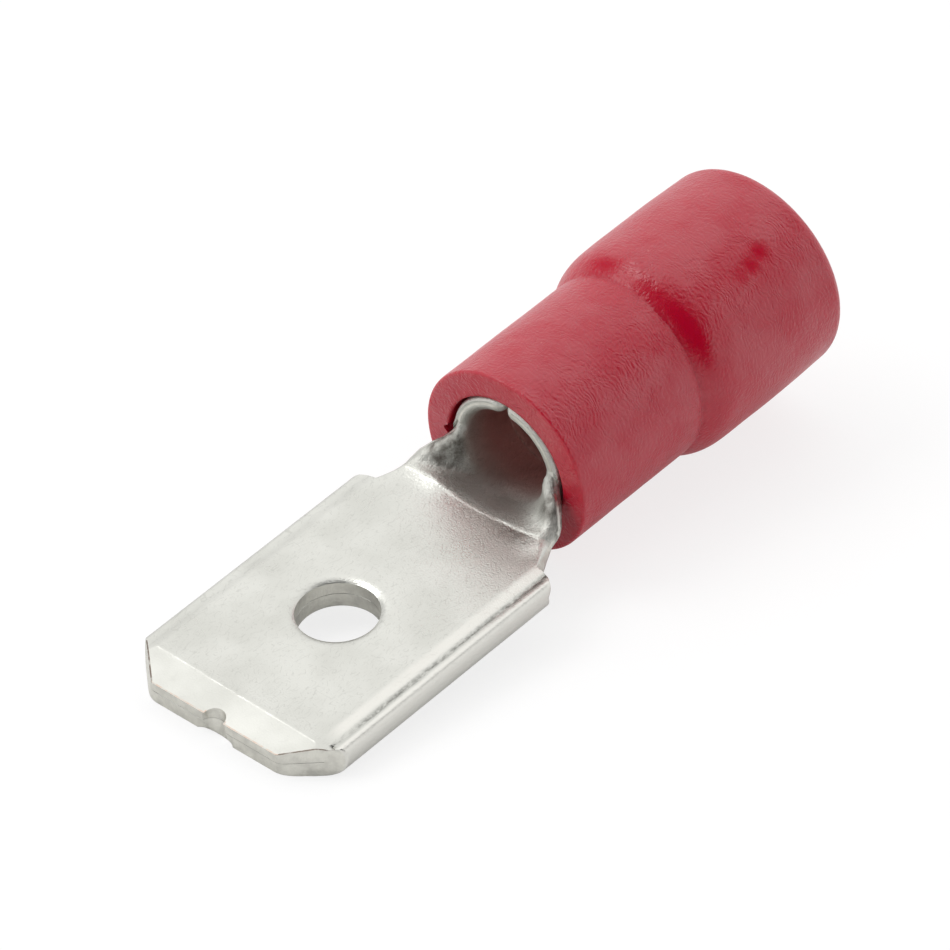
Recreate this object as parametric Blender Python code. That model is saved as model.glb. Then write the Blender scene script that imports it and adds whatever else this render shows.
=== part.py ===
"""Insulated male spade terminal, 6.3 x 0.8 mm, lying at rest on a floor at z = 0.

Two pieces. The metal terminal is one sheet: its wings fold under to make a tab of double thickness, and behind the
tab the same sheet runs through a creased neck and rolls up into the wire barrel. The vinyl sleeve is a stepped tube
pushed over the barrel, whose wide rear end takes the insulation of the wire.

Sizes are in metres in the terminal's own frame: x from the tip to the wire end, y across, z up from the tab's top.
"""

import math

import bmesh
import bpy
from mathutils import Matrix, Vector

MM = 0.001

# Tab, folded from two layers of sheet
TAB_WIDTH = 6.3 * MM
TAB_THICKNESS = 0.8 * MM
LAYER_GAP = 0.02 * MM  # left between the folded layers
SHEET = (TAB_THICKNESS - LAYER_GAP) / 2
TAB_END = 7.92 * MM  # rear end of the folded sides' full width
WING_SEAM = 0.06 * MM  # between the edges of the two wings, under the tab
WING_TIP_CORNER = 0.1 * MM
WING_REAR_CORNER = 0.3 * MM

# Coined side edges, a soft shoulder and a narrow groove along each fold
COIN_START = 2.35 * MM
COIN_END = 2.77 * MM
COIN_DROP = 0.045 * MM
GROOVE_NEAR = 2.80 * MM
GROOVE_FAR = 2.84 * MM
GROOVE_DEPTH = 0.085 * MM
CREST = 2.90 * MM
CREST_DROP = 0.05 * MM
LOWER_SQUARENESS = 3  # 2 leaves the fold's lower corner round, more makes it squarer

# Tip, bevelled above and below, with cut corners and a notch that is half round above and shallow below
BEVEL_LENGTH = 0.82 * MM
BEVEL_DROP = 0.158 * MM
BEVEL_SKEW = 0.067 * MM  # how much longer the upper bevel is at the +y side, shorter at the -y side
LOWER_BEVEL_LENGTH = 0.60 * MM
LOWER_BEVEL_DROP = 0.07 * MM
CORNER_LENGTH = 1.10 * MM
CORNER_WIDTH = 1.21 * MM
CORNER_DRAFT = 0.12 * MM  # how much less is cut off at the bottom than at the top
NOTCH_RADIUS = 0.33 * MM
NOTCH_FOOT_DEPTH = 0.09 * MM
NOTCH_FOOT_HALF = 0.62 * MM  # half its width at the bottom

# Detent hole, pierced from above
HOLE_X = 4.337 * MM
HOLE_Y = 0.113 * MM
HOLE_RADIUS = 1.007 * MM
ROLL_OVER = 0.235 * MM  # width of the drawn-in ring round the hole
ROLL_OVER_DEPTH = 0.075 * MM
BREAK_OUT = 0.05 * MM

# Shoulder and neck
SHOULDER_X = 8.32 * MM
SHOULDER_Y = 2.50 * MM
CREASE_X = 8.95 * MM
CREASE_BOW = 0.24 * MM  # how much farther back the crease lies at the neck's edges
CREASE_Y = 2.20 * MM
NECK_SHIFT = 0.10 * MM  # how far the neck lies toward +y at the crease
NECK_SHEAR = 0.13 * MM  # how much wider the neck's sheared edges leave its lower face
NECK_HALF = 2.30 * MM  # half the width of the flat sheet where the neck meets the barrel
CURL_POWER = 1.2  # how early the sides curl up behind the crease
DROP_POWER = 2.4  # how early the neck drops at its edges
MIDDLE_DROP_POWER = 1.25  # and in its middle
CREASE_SOFTNESS = 0.03

# Wire barrel
MOUTH_X = 10.11 * MM
BARREL_RADIUS = 1.63 * MM  # outside
BARREL_AXIS_Z = 0.74 * MM
BARREL_END = 15.0 * MM
BARREL_SEAM = 0.08 * MM
BARREL_CORNER = 0.25 * MM
NECK_FILLET = 0.32 * MM
OUTER_EDGE = 0.12 * MM  # rounding of the sheet's edge on the barrel's outside
INNER_EDGE = 0.04 * MM
GROOVES = 3
FIRST_GROOVE = 1.48 * MM  # from the barrel's mouth
GROOVE_PITCH = 0.80 * MM
GROOVE_HALF = 0.12 * MM
SERRATION_DEPTH = 0.07 * MM

# Insulating sleeve
SLEEVE_START = MOUTH_X + 0.006 * MM
SLEEVE_END = 19.40 * MM
SLEEVE_RADIUS = 2.455 * MM
SLEEVE_CLEARANCE = 0.14 * MM  # in radius, over the barrel
SEAT_GAP = 0.02 * MM  # left where the sleeve hangs on the top of the barrel
REAR_RADIUS = 2.770 * MM
REAR_WALL = 0.77 * MM
WIDE_LENGTH = 4.88 * MM  # from the foot of the step to the rear end
STEP_REACH = 0.42 * MM  # in which most of the step rises
STEP_POWER = 1.5
REAR_TAPER_LENGTH = 2.0 * MM
REAR_TAPER = 0.055 * MM  # how much the radius shrinks over that length
FUNNEL_SETBACK = 0.73 * MM  # from the foot of the step, so that the wall keeps its thickness
FUNNEL_LENGTH = 0.75 * MM
FRONT_ROUND = 0.07 * MM
REAR_ROUND = 0.35 * MM
BORE_ROUND = 0.08 * MM
NICK_RADIUS = 0.13 * MM
NICK_DEPTH = 0.35 * MM
DENT_SETBACK = 2.2 * MM  # from the rear end
DENT_LENGTH = 1.5 * MM
DENT_WIDTH = 0.45 * MM
DENT_DEPTH = 0.05 * MM
DENT_ANGLE = math.radians(-36)  # from the top, toward -y

# How finely the curves are cut
FOLD_STEPS = 10
BARREL_STEPS = 48
NECK_STEPS = 12
SLEEVE_STEPS = 72

# Worked out from the sizes above
FOLD_Y = TAB_WIDTH / 2 - TAB_THICKNESS / 2
FOLD_RADIUS = (SHEET + LAYER_GAP) / 2  # of the middle of the sheet
FOLD_RUN = math.pi * FOLD_RADIUS
WING_RUN = 2 * FOLD_Y + FOLD_RUN - WING_SEAM / 2
BARREL_MIDDLE = BARREL_RADIUS - SHEET / 2
BARREL_RUN = math.pi * BARREL_MIDDLE - BARREL_SEAM / 2
NECK_DROP = BARREL_MIDDLE - BARREL_AXIS_Z - SHEET / 2
SLEEVE_BORE = BARREL_RADIUS + SLEEVE_CLEARANCE
SLEEVE_AXIS_Z = BARREL_AXIS_Z - SLEEVE_CLEARANCE + SEAT_GAP
REAR_BORE = REAR_RADIUS - REAR_WALL
STEP_START = SLEEVE_END - WIDE_LENGTH
REAR_TAPER_START = SLEEVE_END - REAR_TAPER_LENGTH
FUNNEL_START = STEP_START + FUNNEL_SETBACK
DENT_X = SLEEVE_END - DENT_SETBACK
TINY = 1e-7


def clear_scene():
    for item in list(bpy.data.objects):
        bpy.data.objects.remove(item, do_unlink=True)


def make_material(name, colour, metallic, roughness):
    material = bpy.data.materials.new(name)
    material.use_nodes = True
    shader = material.node_tree.nodes["Principled BSDF"]
    shader.inputs["Base Color"].default_value = (*colour, 1)
    shader.inputs["Metallic"].default_value = metallic
    shader.inputs["Roughness"].default_value = roughness
    return material


def object_from(name, bm):
    """A new object holding this mesh, with all its faces turned outward."""
    bmesh.ops.recalc_face_normals(bm, faces=bm.faces)
    mesh = bpy.data.meshes.new(name)
    bm.to_mesh(mesh)
    bm.free()
    item = bpy.data.objects.new(name, mesh)
    bpy.context.scene.collection.objects.link(item)
    return item


def cut(item, cutter):
    """Take the cutter's shape out of the item, and keep the cutter as a hidden guide."""
    cutter.hide_render = True
    cutter.display_type = "WIRE"
    cutter.parent = item.parent
    boolean = item.modifiers.new(cutter.name, "BOOLEAN")
    boolean.operation = "DIFFERENCE"
    boolean.solver = "EXACT"
    boolean.object = cutter


def arc(x, y, radius, start, end, steps=5):
    """Points of an arc about (x, y), with its angles in degrees."""
    points = []
    for step in range(steps + 1):
        angle = math.radians(start + (end - start) * step / steps)
        points.append((x + radius * math.cos(angle), y + radius * math.sin(angle)))
    return points


def run_at(y):
    """How far from the centre line of the flat sheet the point lies that the fold brings to this y."""
    if y <= FOLD_Y:
        return y
    turn = math.asin(min(1, (y - FOLD_Y) / (TAB_THICKNESS / 2)))
    return FOLD_Y + FOLD_RADIUS * turn


def half_outline(side):
    """The flat sheet's outline on one side of the centre, from the tip to the end of the barrel, as (x, run)."""
    tip, rear = WING_TIP_CORNER, WING_REAR_CORNER
    points = arc(tip, WING_RUN - tip, tip, 180, 90)
    points += arc(TAB_END - rear, WING_RUN - rear, rear, 90, 0)
    for along, inward in arc(0, 0, 1, 0, 90, 6):
        x = TAB_END + (SHOULDER_X - TAB_END) * inward
        points.append((x, run_at(SHOULDER_Y + (TAB_WIDTH / 2 - SHOULDER_Y) * along)))
    points.append((CREASE_X, CREASE_Y + side * NECK_SHIFT))
    points += arc(MOUTH_X - NECK_FILLET, NECK_HALF + NECK_FILLET, NECK_FILLET, -90, 0)
    points += arc(MOUTH_X + BARREL_CORNER, BARREL_RUN - BARREL_CORNER, BARREL_CORNER, 180, 90)
    points += arc(BARREL_END - BARREL_CORNER, BARREL_RUN - BARREL_CORNER, BARREL_CORNER, 90, 0)
    return [(x, side * run) for x, run in points]


def score(bm, axis, position, zone):
    """Cut an edge line across the flat sheet where it is to bend, in the faces that lie in this zone of x."""
    faces = [f for f in bm.faces if zone[0] - TINY < f.calc_center_median().x < zone[1] + TINY]
    edges = {edge for face in faces for edge in face.edges}
    points = {vert for face in faces for vert in face.verts}
    place = Vector((position, 0, 0)) if axis == 0 else Vector((0, position, 0))
    normal = Vector((1, 0, 0)) if axis == 0 else Vector((0, 1, 0))
    bmesh.ops.bisect_plane(
        bm, geom=[*faces, *edges, *points], dist=TINY, plane_co=place, plane_no=normal
    )


def groove_positions():
    first = MOUTH_X + FIRST_GROOVE
    return [first + GROOVE_PITCH * number for number in range(GROOVES)]


def flat_blank():
    """The cut sheet before it is folded: its upper face on z = 0, x along the terminal, y the run across it."""
    outline = half_outline(1) + half_outline(-1)[::-1]
    bm = bmesh.new()
    face = bm.faces.new([bm.verts.new((x, run, 0)) for x, run in outline])
    made = bmesh.ops.extrude_face_region(bm, geom=[face])["geom"]
    lower = [item for item in made if isinstance(item, bmesh.types.BMVert)]
    bmesh.ops.translate(bm, verts=lower, vec=(0, 0, -SHEET))
    bmesh.ops.recalc_face_normals(bm, faces=bm.faces)
    for vert in lower:
        if SHOULDER_X - TINY < vert.co.x < CREASE_X + TINY:
            vert.co.y += math.copysign(NECK_SHEAR, vert.co.y)

    # Rounded edges on the neck and barrel
    for height, radius, segments in ((0, INNER_EDGE, 1), (-SHEET, OUTER_EDGE, 3)):
        rim = []
        for edge in bm.edges:
            level = all(abs(vert.co.z - height) < TINY for vert in edge.verts)
            behind = all(vert.co.x > SHOULDER_X - TINY for vert in edge.verts)
            if level and behind:
                rim.append(edge)
        bmesh.ops.bevel(bm, geom=rim, offset=radius, segments=segments, profile=0.5, affect="EDGES")

    # Lines along which the sheet bends
    everywhere = (0, BARREL_END)
    tab = (0, CREASE_X)
    rolled = (CREASE_X, BARREL_END)
    for step in range(NECK_STEPS + 1):
        score(bm, 0, CREASE_X + (MOUTH_X - CREASE_X) * step / NECK_STEPS, everywhere)
    for middle in groove_positions():
        for offset in (-GROOVE_HALF, 0, GROOVE_HALF):
            score(bm, 0, middle + offset, everywhere)
    for side in (-1, 1):
        for step in range(FOLD_STEPS + 1):
            score(bm, 1, side * (FOLD_Y + FOLD_RUN * step / FOLD_STEPS), tab)
        for y in (COIN_START, COIN_END, GROOVE_NEAR, GROOVE_FAR, CREST):
            score(bm, 1, side * run_at(y), tab)
    pitch = 2 * math.pi * BARREL_MIDDLE / BARREL_STEPS
    for step in range(-BARREL_STEPS // 2 + 1, BARREL_STEPS // 2):
        score(bm, 1, pitch * step, rolled)

    # Serrations across the inside of the barrel
    for vert in bm.verts:
        on_line = any(abs(vert.co.x - middle) < TINY for middle in groove_positions())
        if on_line and abs(vert.co.z) < TINY:
            vert.co.z -= SERRATION_DEPTH
    return bm


def folded_middle(x, run):
    """Where the middle of the sheet goes in the tab: flat, round the fold, and back under it."""
    side = math.copysign(1, run)
    beyond = abs(run) - FOLD_Y
    if beyond <= 0:
        return Vector((x, run, -SHEET / 2))
    if beyond >= FOLD_RUN:
        return Vector((x, side * (FOLD_Y + FOLD_RUN - beyond), SHEET / 2 - TAB_THICKNESS))
    turn = beyond / FOLD_RADIUS
    y = FOLD_Y + FOLD_RADIUS * math.sin(turn)
    return Vector((x, side * y, FOLD_RADIUS * math.cos(turn) - TAB_THICKNESS / 2))


def rolled_middle(x, run):
    """Where the middle of the sheet goes in the neck and barrel: the sides curl up while the bottom drops."""
    along = max(0, min(1, (x - CREASE_X) / (MOUTH_X - CREASE_X)))
    curve = (1 - (1 - along) ** CURL_POWER) / BARREL_MIDDLE
    soft = math.hypot(along, CREASE_SOFTNESS) - CREASE_SOFTNESS
    soft /= math.hypot(1, CREASE_SOFTNESS) - CREASE_SOFTNESS
    bottom = -SHEET / 2 - NECK_DROP * (1 - (1 - soft) ** DROP_POWER)
    middle = max(0, 1 - (run / CREASE_Y) ** 2) ** 2
    bottom += middle * NECK_DROP * ((1 - along) ** MIDDLE_DROP_POWER - (1 - along) ** DROP_POWER)
    before = max(0, min(1, (x - SHOULDER_X) / (CREASE_X - SHOULDER_X)))
    x += CREASE_BOW * min(before, 1 - along) * min(1, abs(run) / CREASE_Y) ** 2
    if curve < 1:
        return Vector((x, run, bottom))
    return Vector((x, math.sin(run * curve) / curve, bottom + (1 - math.cos(run * curve)) / curve))


def formed_point(flat):
    """Carry a point of the flat sheet to its place on the formed one, square to the middle of the sheet."""
    middle = folded_middle if flat.x < SHOULDER_X else rolled_middle
    near = 1e-6
    along = middle(flat.x + near, flat.y) - middle(flat.x - near, flat.y)
    across = middle(flat.x, flat.y + near) - middle(flat.x, flat.y - near)
    upward = along.cross(across).normalized()
    return middle(flat.x, flat.y) + upward * (flat.z + SHEET / 2)


def coined_height(y):
    """Top of the tab beside the fold, as the coining leaves it."""
    profile = (
        (COIN_START, 0),
        (COIN_END, -COIN_DROP),
        (GROOVE_NEAR, -GROOVE_DEPTH),
        (GROOVE_FAR, -GROOVE_DEPTH),
        (CREST, -CREST_DROP),
    )
    for (y0, z0), (y1, z1) in zip(profile, profile[1:]):
        if y0 <= y <= y1:
            return z0 + (z1 - z0) * (y - y0) / (y1 - y0)
    return 0


def squared_fold(point):
    """Press the lower half of the fold's round outside toward a square corner."""
    middle = Vector((point.x, math.copysign(FOLD_Y, point.y), -TAB_THICKNESS / 2))
    out = point - middle
    radius = out.length
    power = LOWER_SQUARENESS
    spread = (abs(out.y / radius) ** power + abs(out.z / radius) ** power) ** (1 / power)
    return middle + out / spread


def form_sheet(bm):
    """Fold the tab, roll the barrel and coin the folded sides."""
    for vert in bm.verts:
        outside = abs(vert.co.z) < TINY
        in_tab = vert.co.x < CREASE_X - TINY
        vert.co = formed_point(vert.co)
        if not (outside and in_tab):
            continue
        if vert.co.z > -TAB_THICKNESS / 4:
            vert.co.z = min(vert.co.z, coined_height(abs(vert.co.y)))
        elif vert.co.z < -TAB_THICKNESS / 2 and abs(vert.co.y) > FOLD_Y:
            vert.co = squared_fold(vert.co)
    bmesh.ops.triangulate(bm, faces=[f for f in bm.faces if f.calc_center_median().x > TAB_END])


def loft(name, near, far):
    """A solid between two outlines that have the same number of points."""
    bm = bmesh.new()
    first = [bm.verts.new(place) for place in near]
    second = [bm.verts.new(place) for place in far]
    bm.faces.new(first)
    bm.faces.new(second)
    for index in range(len(first)):
        after = (index + 1) % len(first)
        bm.faces.new((first[index], first[after], second[after], second[index]))
    bmesh.ops.triangulate(bm, faces=bm.faces)
    return object_from(name, bm)


def bevel_cutter(name, height, side, drop, length, skew):
    """What the tip's bevel takes off: above the tab for side 1, below it for side -1."""
    reach = 2 * MM
    outlines = []
    for y in (-TAB_WIDTH, TAB_WIDTH):
        slope = drop / (length + skew * y / (TAB_WIDTH / 2))
        front = height - side * (drop + slope * reach)
        back = height + side * (slope * reach - drop)
        clear = height + side * reach
        outlines.append([(-reach, y, front), (reach, y, back), (reach, y, clear), (-reach, y, clear)])
    return loft(name, *outlines)


def turned(name, profile, centre, axis, steps, closed):
    """A turned solid: (radius, height) points swept round the axis. A closed profile makes a tube."""
    bm = bmesh.new()
    side = Vector((0, 0, 1)) if abs(axis.x) > 0.5 else Vector((1, 0, 0))
    points = [bm.verts.new(centre + side * radius + axis * height) for radius, height in profile]
    edges = [bm.edges.new(pair) for pair in zip(points, points[1:])]
    if closed:
        edges.append(bm.edges.new((points[-1], points[0])))
    bmesh.ops.spin(
        bm, geom=edges, cent=centre, axis=axis, dvec=(0, 0, 0), angle=2 * math.pi, steps=steps
    )
    bmesh.ops.remove_doubles(bm, verts=bm.verts, dist=TINY)
    return object_from(name, bm)


def hole_cutter():
    """The detent hole: rolled in at the top, straight, and broken out a little at the bottom."""
    above = 1 * MM
    profile = [(0, above), (HOLE_RADIUS + ROLL_OVER, above)]
    steps = 5
    for step in range(steps + 1):
        share = 1 - step / steps
        depth = ROLL_OVER_DEPTH * (1 - share) ** 2
        profile.append((HOLE_RADIUS + ROLL_OVER * share, -depth))
    profile += [
        (HOLE_RADIUS, BREAK_OUT - TAB_THICKNESS),
        (HOLE_RADIUS + BREAK_OUT, -TAB_THICKNESS),
        (HOLE_RADIUS + BREAK_OUT, -TAB_THICKNESS - above),
        (0, -TAB_THICKNESS - above),
    ]
    centre = Vector((HOLE_X, HOLE_Y, 0))
    return turned("hole_cutter", profile, centre, Vector((0, 0, 1)), 48, False)


def corner_cutter(side):
    """The triangle cut off one corner of the tip, with a wall that slopes outward below."""
    edge = side * TAB_WIDTH / 2
    slope = CORNER_LENGTH / CORNER_WIDTH
    beyond = 1 * MM
    outlines = []
    for height in (-TAB_THICKNESS - beyond, beyond):
        inner = edge - side * (CORNER_WIDTH + CORNER_DRAFT * height / TAB_THICKNESS)
        outlines.append(
            [
                (-beyond * slope, inner - side * beyond, height),
                ((edge - inner) * side * slope + beyond * slope, edge + side * beyond, height),
                (-beyond * slope, edge + side * beyond, height),
            ]
        )
    return loft(f"corner_cutter_{side + 1}", *outlines)


def notch_cutter():
    """The notch in the tip, half round at the upper bevel's edge, wider and much shallower below."""
    beyond = 0.1 * MM
    outlines = []
    for height in (-TAB_THICKNESS - beyond, beyond):
        down = (-height - BEVEL_DROP) / (TAB_THICKNESS - BEVEL_DROP)
        depth = NOTCH_RADIUS + (NOTCH_FOOT_DEPTH - NOTCH_RADIUS) * down
        half = NOTCH_RADIUS + (NOTCH_FOOT_HALF - NOTCH_RADIUS) * down
        outlines.append([(depth * x, half * y, height) for x, y in arc(0, 0, 1, 0, 345, 23)])
    return loft("notch_cutter", *outlines)


def build_terminal(rest):
    bm = flat_blank()
    form_sheet(bm)
    terminal = object_from("folded_terminal", bm)
    terminal.parent = rest
    upper = ("upper_bevel_cutter", 0, 1, BEVEL_DROP, BEVEL_LENGTH, BEVEL_SKEW)
    lower = ("lower_bevel_cutter", -TAB_THICKNESS, -1, LOWER_BEVEL_DROP, LOWER_BEVEL_LENGTH, 0)
    for sizes in (upper, lower):
        cut(terminal, bevel_cutter(*sizes))
    for side in (-1, 1):
        cut(terminal, corner_cutter(side))
    cut(terminal, notch_cutter())
    cut(terminal, hole_cutter())
    tin = make_material("tinned_brass", (0.78, 0.77, 0.73), 1.0, 0.34)
    terminal.data.materials.append(tin)
    return terminal


def stepped(start, end, first, last):
    """(radius, x) points of a smooth step from one radius to another."""
    points = []
    steps = 6
    for step in range(steps + 1):
        share = step / steps
        blend = (1 - math.cos(math.pi * share)) / 2
        points.append((first + (last - first) * blend, start + (end - start) * share))
    return points


def rounded(radius, x, size, start, end, steps=5):
    """(radius, x) points of an edge's rounding about a centre, with its angles in degrees."""
    return [(r, along) for along, r in arc(x, radius, size, start, end, steps)]


def outside_radius(x):
    """Radius of the sleeve's outside: a step that rises fast and then slowly, and a slight taper at the rear."""
    past = max(0, x - STEP_START) / STEP_REACH
    radius = REAR_RADIUS - (REAR_RADIUS - SLEEVE_RADIUS) * math.exp(-(past**STEP_POWER))
    late = max(0, x - REAR_TAPER_START) / (SLEEVE_END - REAR_TAPER_START)
    return radius - REAR_TAPER * late**STEP_POWER


def sleeve_profile():
    """Section of the sleeve's wall as (radius, x), round the outside from front to rear and back through the bore."""
    outside = rounded(SLEEVE_RADIUS - FRONT_ROUND, SLEEVE_START + FRONT_ROUND, FRONT_ROUND, 180, 90, 3)
    rear = SLEEVE_END - REAR_ROUND
    steps = 14
    places = [STEP_START + 4 * STEP_REACH * (step / steps) ** 1.5 for step in range(steps + 1)]
    places += [REAR_TAPER_START, (REAR_TAPER_START + rear) / 2]
    outside += [(outside_radius(x), x) for x in places]
    outside += rounded(outside_radius(rear) - REAR_ROUND, rear, REAR_ROUND, 90, 0)
    inside = rounded(REAR_BORE + BORE_ROUND, SLEEVE_END - BORE_ROUND, BORE_ROUND, 0, -90, 3)
    inside += stepped(FUNNEL_START + FUNNEL_LENGTH, FUNNEL_START, REAR_BORE, SLEEVE_BORE)
    inside.append((SLEEVE_BORE, SLEEVE_START))
    return outside + inside


def dent_cutter():
    """A long shallow hollow in the wide end of the sleeve."""
    bm = bmesh.new()
    bmesh.ops.create_uvsphere(bm, u_segments=24, v_segments=16, radius=1)
    half_depth = 4 * DENT_DEPTH
    size = Matrix.Diagonal((DENT_LENGTH, DENT_WIDTH, half_depth, 1))
    lift = Matrix.Translation((DENT_X, 0, REAR_RADIUS + half_depth - DENT_DEPTH))
    turn = Matrix.Rotation(-DENT_ANGLE, 4, "X")
    place = Matrix.Translation((0, 0, SLEEVE_AXIS_Z))
    bmesh.ops.transform(bm, matrix=place @ turn @ lift @ size, verts=bm.verts)
    return object_from("dent_cutter", bm)


def nick_cutter():
    """A small nick in the front edge of the bore, on the +y side."""
    outline = [(0, -NICK_DEPTH), (NICK_RADIUS, -NICK_DEPTH), (NICK_RADIUS, NICK_DEPTH), (0, NICK_DEPTH)]
    centre = Vector((SLEEVE_START, SLEEVE_BORE, SLEEVE_AXIS_Z))
    return turned("nick_cutter", outline, centre, Vector((1, 0, 0)), 16, False)


def build_sleeve(rest):
    centre = Vector((0, 0, SLEEVE_AXIS_Z))
    sleeve = turned(
        "insulating_sleeve", sleeve_profile(), centre, Vector((1, 0, 0)), SLEEVE_STEPS, True
    )
    sleeve.parent = rest
    cut(sleeve, dent_cutter())
    cut(sleeve, nick_cutter())
    vinyl = make_material("red_vinyl", (0.42, 0.02, 0.03), 0.0, 0.42)
    sleeve.data.materials.append(vinyl)
    return sleeve


def rest_tilt():
    """How far the terminal leans when its tip and the sleeve's rounded front rim both touch the floor."""
    leans = []
    for x, z in ((LOWER_BEVEL_LENGTH, -TAB_THICKNESS), (0, LOWER_BEVEL_DROP - TAB_THICKNESS)):
        along = SLEEVE_START + FRONT_ROUND - x
        down = SLEEVE_AXIS_Z - SLEEVE_RADIUS + FRONT_ROUND - z
        leans.append(math.asin(FRONT_ROUND / math.hypot(along, down)) - math.atan2(down, along))
    return min(leans)


def lay_down(rest, pieces):
    """Lean the terminal as it comes to rest, then put the bottom centre of its box on the origin."""
    rest.rotation_euler = (0, -rest_tilt(), 0)
    bpy.context.view_layer.update()
    graph = bpy.context.evaluated_depsgraph_get()
    corners = []
    for item in pieces:
        shape = item.evaluated_get(graph)
        corners += [shape.matrix_world @ vert.co for vert in shape.data.vertices]
    low = [min(corner[axis] for corner in corners) for axis in range(3)]
    high = [max(corner[axis] for corner in corners) for axis in range(3)]
    rest.location = (-(low[0] + high[0]) / 2, -(low[1] + high[1]) / 2, -low[2])


def shade(item):
    for face in item.data.polygons:
        face.use_smooth = True
    item.data.set_sharp_from_angle(angle=math.radians(30))


def main():
    clear_scene()
    rest = bpy.data.objects.new("rest_pose", None)
    bpy.context.scene.collection.objects.link(rest)
    pieces = [build_terminal(rest), build_sleeve(rest)]
    for item in pieces:
        shade(item)
    lay_down(rest, pieces)


main()
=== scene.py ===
import math

import bmesh
import bpy
from mathutils import Matrix, Vector, noise


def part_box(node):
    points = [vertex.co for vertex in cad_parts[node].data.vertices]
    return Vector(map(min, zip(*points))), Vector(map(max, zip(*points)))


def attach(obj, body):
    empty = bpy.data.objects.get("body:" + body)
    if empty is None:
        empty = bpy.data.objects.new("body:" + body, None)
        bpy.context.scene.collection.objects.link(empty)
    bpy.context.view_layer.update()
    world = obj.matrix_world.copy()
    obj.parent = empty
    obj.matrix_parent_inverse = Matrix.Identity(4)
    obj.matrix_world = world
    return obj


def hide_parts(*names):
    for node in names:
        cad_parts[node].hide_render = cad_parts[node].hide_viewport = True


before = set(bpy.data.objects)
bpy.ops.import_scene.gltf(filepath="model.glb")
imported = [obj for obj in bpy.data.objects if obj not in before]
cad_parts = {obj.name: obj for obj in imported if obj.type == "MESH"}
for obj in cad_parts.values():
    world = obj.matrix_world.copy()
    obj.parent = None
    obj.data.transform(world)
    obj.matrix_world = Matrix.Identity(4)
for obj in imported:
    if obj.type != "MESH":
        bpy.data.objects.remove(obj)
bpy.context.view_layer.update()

# The insulated male spade terminal of the photograph, in its red vinyl sleeve, lying on a pale
# floor. The metal is drawn as the real sheet is made: a flat blank with its edges rounded, then
# folded, creased, rolled and coined. Sizes are in metres in the terminal's own frame: x from the
# tip to the wire end, y across, z up from the tab's top.

MM = 0.001

# Tab
TAB_HALF = 3.15 * MM
TAB_THICKNESS = 0.8 * MM
LAYER_GAP = 0.008 * MM
SHEET = (TAB_THICKNESS - LAYER_GAP) / 2
TAB_END = 7.92 * MM
WING_SEAM = 0.003 * MM
WING_TIP_CORNER = 0.004 * MM
WING_REAR_CORNER = 0.3 * MM
LOWER_SQUARENESS = 2.5
NEAR_SQUARENESS = 2.8
REAR_LEAN = 0.16 * MM
REAR_LEAN_LENGTH = 0.7 * MM

# Coined sides: a soft slope toward each fold, and a worn groove in the near one
SIDE_START = 2.40 * MM
SIDE_LENGTH = 0.36 * MM
NEAR_DROP = 0.062 * MM
FAR_START = 2.50 * MM
FAR_DROP = 0.060 * MM
SIDE_GROOVE_Y = 2.815 * MM
SIDE_GROOVE_HALF = 0.055 * MM
SIDE_GROOVE_DEPTH = 0.038 * MM
SIDE_MARGIN = 0.1 * MM
SIDE_WANDER = 0.05 * MM
GROOVE_WANDER = 0.015 * MM
WANDER_PITCH = 0.5 * MM
GROOVE_WEAR = 1.3
GROOVE_WEAR_PITCH = 0.14 * MM

# Tip
BEVEL_LENGTH = 0.82 * MM
BEVEL_DROP = 0.158 * MM
BEVEL_SKEW = 0.067 * MM
LOWER_BEVEL_LENGTH = 0.60 * MM
LOWER_BEVEL_DROP = 0.07 * MM
CORNER_LENGTH = 1.10 * MM
CORNER_WIDTH = 1.21 * MM
CORNER_DRAFT = 0.12 * MM
CORNER_MARGIN = 0.3 * MM
CORNER_FADE = 0.8 * MM
UPPER_BLUNTING = 0.03 * MM
LOWER_BLUNTING = 0.22 * MM
BLUNTING_CHANGE = 0.125
FRONT_EDGE = 0.1 * MM
LIP = 0.005 * MM
LIP_START = 0.1 * MM
LIP_BEHIND = 0.03 * MM
LIP_REACH = 0.07 * MM

# Tip notch: deep and narrow above, shallow and wide below
NOTCH_RADIUS = 0.30 * MM
NOTCH_FOOT_DEPTH = 0.13 * MM
NOTCH_FOOT_HALF = 0.55 * MM
NOTCH_DEPTH_POWER = 1.6
NOTCH_WIDTH_POWER = 2.2
NOTCH_FADE = 0.4 * MM

# Detent hole
HOLE_X = 4.337 * MM
HOLE_Y = 0.113 * MM
HOLE_RADIUS = 1.007 * MM
ROLL_OVER = 0.235 * MM
ROLL_OVER_DEPTH = 0.075 * MM

# Shoulder and neck
SHOULDER_X = 8.32 * MM
SHOULDER_Y = 2.50 * MM
CREASE_X = 8.95 * MM
CREASE_BOW = 0.24 * MM
CREASE_Y = 2.20 * MM
NECK_SHIFT = 0.10 * MM
NECK_SHEAR = 0.13 * MM
NECK_HALF = 2.30 * MM
CURL_POWER = 1.2
DROP_POWER = 2.4
FIRST_SLOPE = 0.45
CREASE_SOFTNESS = 0.03
CREASE_RIDGE = 0.007 * MM
CREASE_RIDGE_REACH = 0.035 * MM

# Raise at the crease's two ends, which starts at (distance from the tip, distance from the centre
# line)
FAR_RAISE_START = (8.50 * MM, 0.8 * MM)
NEAR_RAISE_START = (8.40 * MM, 1.5 * MM)
CREASE_RAISE = 0.11 * MM
RAISE_POWER = 1.4
RAISE_BEHIND = 0.6 * MM
RAISE_SIDEWAYS = 0.5 * MM

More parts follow.
